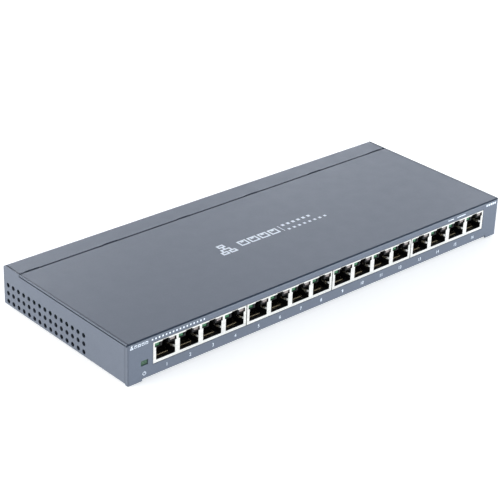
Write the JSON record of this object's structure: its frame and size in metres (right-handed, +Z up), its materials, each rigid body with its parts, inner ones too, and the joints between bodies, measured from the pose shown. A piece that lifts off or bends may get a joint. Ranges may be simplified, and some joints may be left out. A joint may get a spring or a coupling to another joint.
{
  "type": "desktop network switch",
  "caption": "Flat folded-steel desktop network switch with a front row of shielded modular ports, lamps beside each port and round side vents.",
  "frame": {"origin": "middle of the footprint, on the plane the feet stand on", "axes": "+X to the right seen from the front, +Y to the rear, +Z up; the front panel faces -Y"},
  "size_m": [0.286, 0.1116, 0.0254],
  "materials": {
    "painted_steel": "satin",
    "rubber": "matt",
    "label_paper": "matt",
    "zinc_screw": "satin",
    "board_green": "satin",
    "black_film": "satin",
    "green_lens": "gloss",
    "clear_lens": "gloss",
    "black_plastic": "matt",
    "nickel": "bright",
    "gold_contact": "bright",
    "chip_black": "matt",
    "pad_grey": "matt",
    "sink_aluminium": "satin",
    "coil_grey": "matt",
    "ceramic_tan": "satin"
  },
  "bodies": {
    "case": {"base_chassis": "painted_steel", "top_cover": "painted_steel", "rubber_feet": "rubber", "blank_label": "label_paper", "cover_screws": "zinc_screw", "board_screws": "zinc_screw", "board_posts": "zinc_screw", "circuit_board": "board_green", "insulation_sheet": "black_film", "link_lamps": "green_lens", "speed_lamps": "clear_lens", "inlet_body": "black_plastic", "inlet_pin": "nickel", "inlet_legs": "nickel", "power_light_pipe": "green_lens", "power_lamp": "clear_lens", "switch_chip": "chip_black", "thermal_pad": "pad_grey", "heat_sink": "sink_aluminium", "line_transformers": "chip_black", "line_chips": "chip_black", "crystals": "nickel", "memory_chip": "chip_black", "power_coils": "coil_grey", "regulators": "chip_black", "small_parts": "ceramic_tan", "round_capacitors": "sink_aluminium", "jack_shield_1": "nickel", "jack_block_1": "black_plastic", "jack_leads_1": "gold_contact", "jack_shield_2": "nickel", "jack_block_2": "black_plastic", "jack_leads_2": "gold_contact", "jack_shield_3": "nickel", "jack_block_3": "black_plastic", "jack_leads_3": "gold_contact", "jack_shield_4": "nickel", "jack_block_4": "black_plastic", "jack_leads_4": "gold_contact"},
    "contacts_01": {"jack_wires_01": "gold_contact"},
    "contacts_02": {"jack_wires_02": "gold_contact"},
    "contacts_03": {"jack_wires_03": "gold_contact"},
    "contacts_04": {"jack_wires_04": "gold_contact"},
    "contacts_05": {"jack_wires_05": "gold_contact"},
    "contacts_06": {"jack_wires_06": "gold_contact"},
    "contacts_07": {"jack_wires_07": "gold_contact"},
    "contacts_08": {"jack_wires_08": "gold_contact"},
    "contacts_09": {"jack_wires_09": "gold_contact"},
    "contacts_10": {"jack_wires_10": "gold_contact"},
    "contacts_11": {"jack_wires_11": "gold_contact"},
    "contacts_12": {"jack_wires_12": "gold_contact"},
    "contacts_13": {"jack_wires_13": "gold_contact"},
    "contacts_14": {"jack_wires_14": "gold_contact"},
    "contacts_15": {"jack_wires_15": "gold_contact"},
    "contacts_16": {"jack_wires_16": "gold_contact"},
    "inlet_spring": {"inlet_leaf": "nickel"}
  },
  "joints": [
    {"name": "contact_flex_01", "type": "hinge", "parent": "case", "child": "contacts_01", "pos_m": [-0.11838, -0.05245, 0.01075], "axis": [1, 0, 0], "range_deg": [-12, 0], "stiffness_Nm_per_rad": 0.05, "springref_deg": 2.86},
    {"name": "contact_flex_02", "type": "hinge", "parent": "case", "child": "contacts_02", "pos_m": [-0.10261, -0.05245, 0.01075], "axis": [1, 0, 0], "range_deg": [-12, 0], "stiffness_Nm_per_rad": 0.05, "springref_deg": 2.86},
    {"name": "contact_flex_03", "type": "hinge", "parent": "case", "child": "contacts_03", "pos_m": [-0.08684, -0.05245, 0.01075], "axis": [1, 0, 0], "range_deg": [-12, 0], "stiffness_Nm_per_rad": 0.05, "springref_deg": 2.86},
    {"name": "contact_flex_04", "type": "hinge", "parent": "case", "child": "contacts_04", "pos_m": [-0.07107, -0.05245, 0.01075], "axis": [1, 0, 0], "range_deg": [-12, 0], "stiffness_Nm_per_rad": 0.05, "springref_deg": 2.86},
    {"name": "contact_flex_05", "type": "hinge", "parent": "case", "child": "contacts_05", "pos_m": [-0.05423, -0.05245, 0.01075], "axis": [1, 0, 0], "range_deg": [-12, 0], "stiffness_Nm_per_rad": 0.05, "springref_deg": 2.86},
    {"name": "contact_flex_06", "type": "hinge", "parent": "case", "child": "contacts_06", "pos_m": [-0.03846, -0.05245, 0.01075], "axis": [1, 0, 0], "range_deg": [-12, 0], "stiffness_Nm_per_rad": 0.05, "springref_deg": 2.86},
    {"name": "contact_flex_07", "type": "hinge", "parent": "case", "child": "contacts_07", "pos_m": [-0.02269, -0.05245, 0.01075], "axis": [1, 0, 0], "range_deg": [-12, 0], "stiffness_Nm_per_rad": 0.05, "springref_deg": 2.86},
    {"name": "contact_flex_08", "type": "hinge", "parent": "case", "child": "contacts_08", "pos_m": [-0.00692, -0.05245, 0.01075], "axis": [1, 0, 0], "range_deg": [-12, 0], "stiffness_Nm_per_rad": 0.05, "springref_deg": 2.86},
    {"name": "contact_flex_09", "type": "hinge", "parent": "case", "child": "contacts_09", "pos_m": [0.00992, -0.05245, 0.01075], "axis": [1, 0, 0], "range_deg": [-12, 0], "stiffness_Nm_per_rad": 0.05, "springref_deg": 2.86},
    {"name": "contact_flex_10", "type": "hinge", "parent": "case", "child": "contacts_10", "pos_m": [0.02569, -0.05245, 0.01075], "axis": [1, 0, 0], "range_deg": [-12, 0], "stiffness_Nm_per_rad": 0.05, "springref_deg": 2.86},
    {"name": "contact_flex_11", "type": "hinge", "parent": "case", "child": "contacts_11", "pos_m": [0.04146, -0.05245, 0.01075], "axis": [1, 0, 0], "range_deg": [-12, 0], "stiffness_Nm_per_rad": 0.05, "springref_deg": 2.86},
    {"name": "contact_flex_12", "type": "hinge", "parent": "case", "child": "contacts_12", "pos_m": [0.05723, -0.05245, 0.01075], "axis": [1, 0, 0], "range_deg": [-12, 0], "stiffness_Nm_per_rad": 0.05, "springref_deg": 2.86},
    {"name": "contact_flex_13", "type": "hinge", "parent": "case", "child": "contacts_13", "pos_m": [0.07407, -0.05245, 0.01075], "axis": [1, 0, 0], "range_deg": [-12, 0], "stiffness_Nm_per_rad": 0.05, "springref_deg": 2.86},
    {"name": "contact_flex_14", "type": "hinge", "parent": "case", "child": "contacts_14", "pos_m": [0.08984, -0.05245, 0.01075], "axis": [1, 0, 0], "range_deg": [-12, 0], "stiffness_Nm_per_rad": 0.05, "springref_deg": 2.86},
    {"name": "contact_flex_15", "type": "hinge", "parent": "case", "child": "contacts_15", "pos_m": [0.10561, -0.05245, 0.01075], "axis": [1, 0, 0], "range_deg": [-12, 0], "stiffness_Nm_per_rad": 0.05, "springref_deg": 2.86},
    {"name": "contact_flex_16", "type": "hinge", "parent": "case", "child": "contacts_16", "pos_m": [0.12138, -0.05245, 0.01075], "axis": [1, 0, 0], "range_deg": [-12, 0], "stiffness_Nm_per_rad": 0.05, "springref_deg": 2.86},
    {"name": "inlet_leaf_flex", "type": "hinge", "parent": "case", "child": "inlet_spring", "pos_m": [-0.112, 0.04625, 0.01175], "axis": [1, 0, 0], "range_deg": [-4, 0], "stiffness_Nm_per_rad": 0.02, "springref_deg": 1.72}
  ]
}
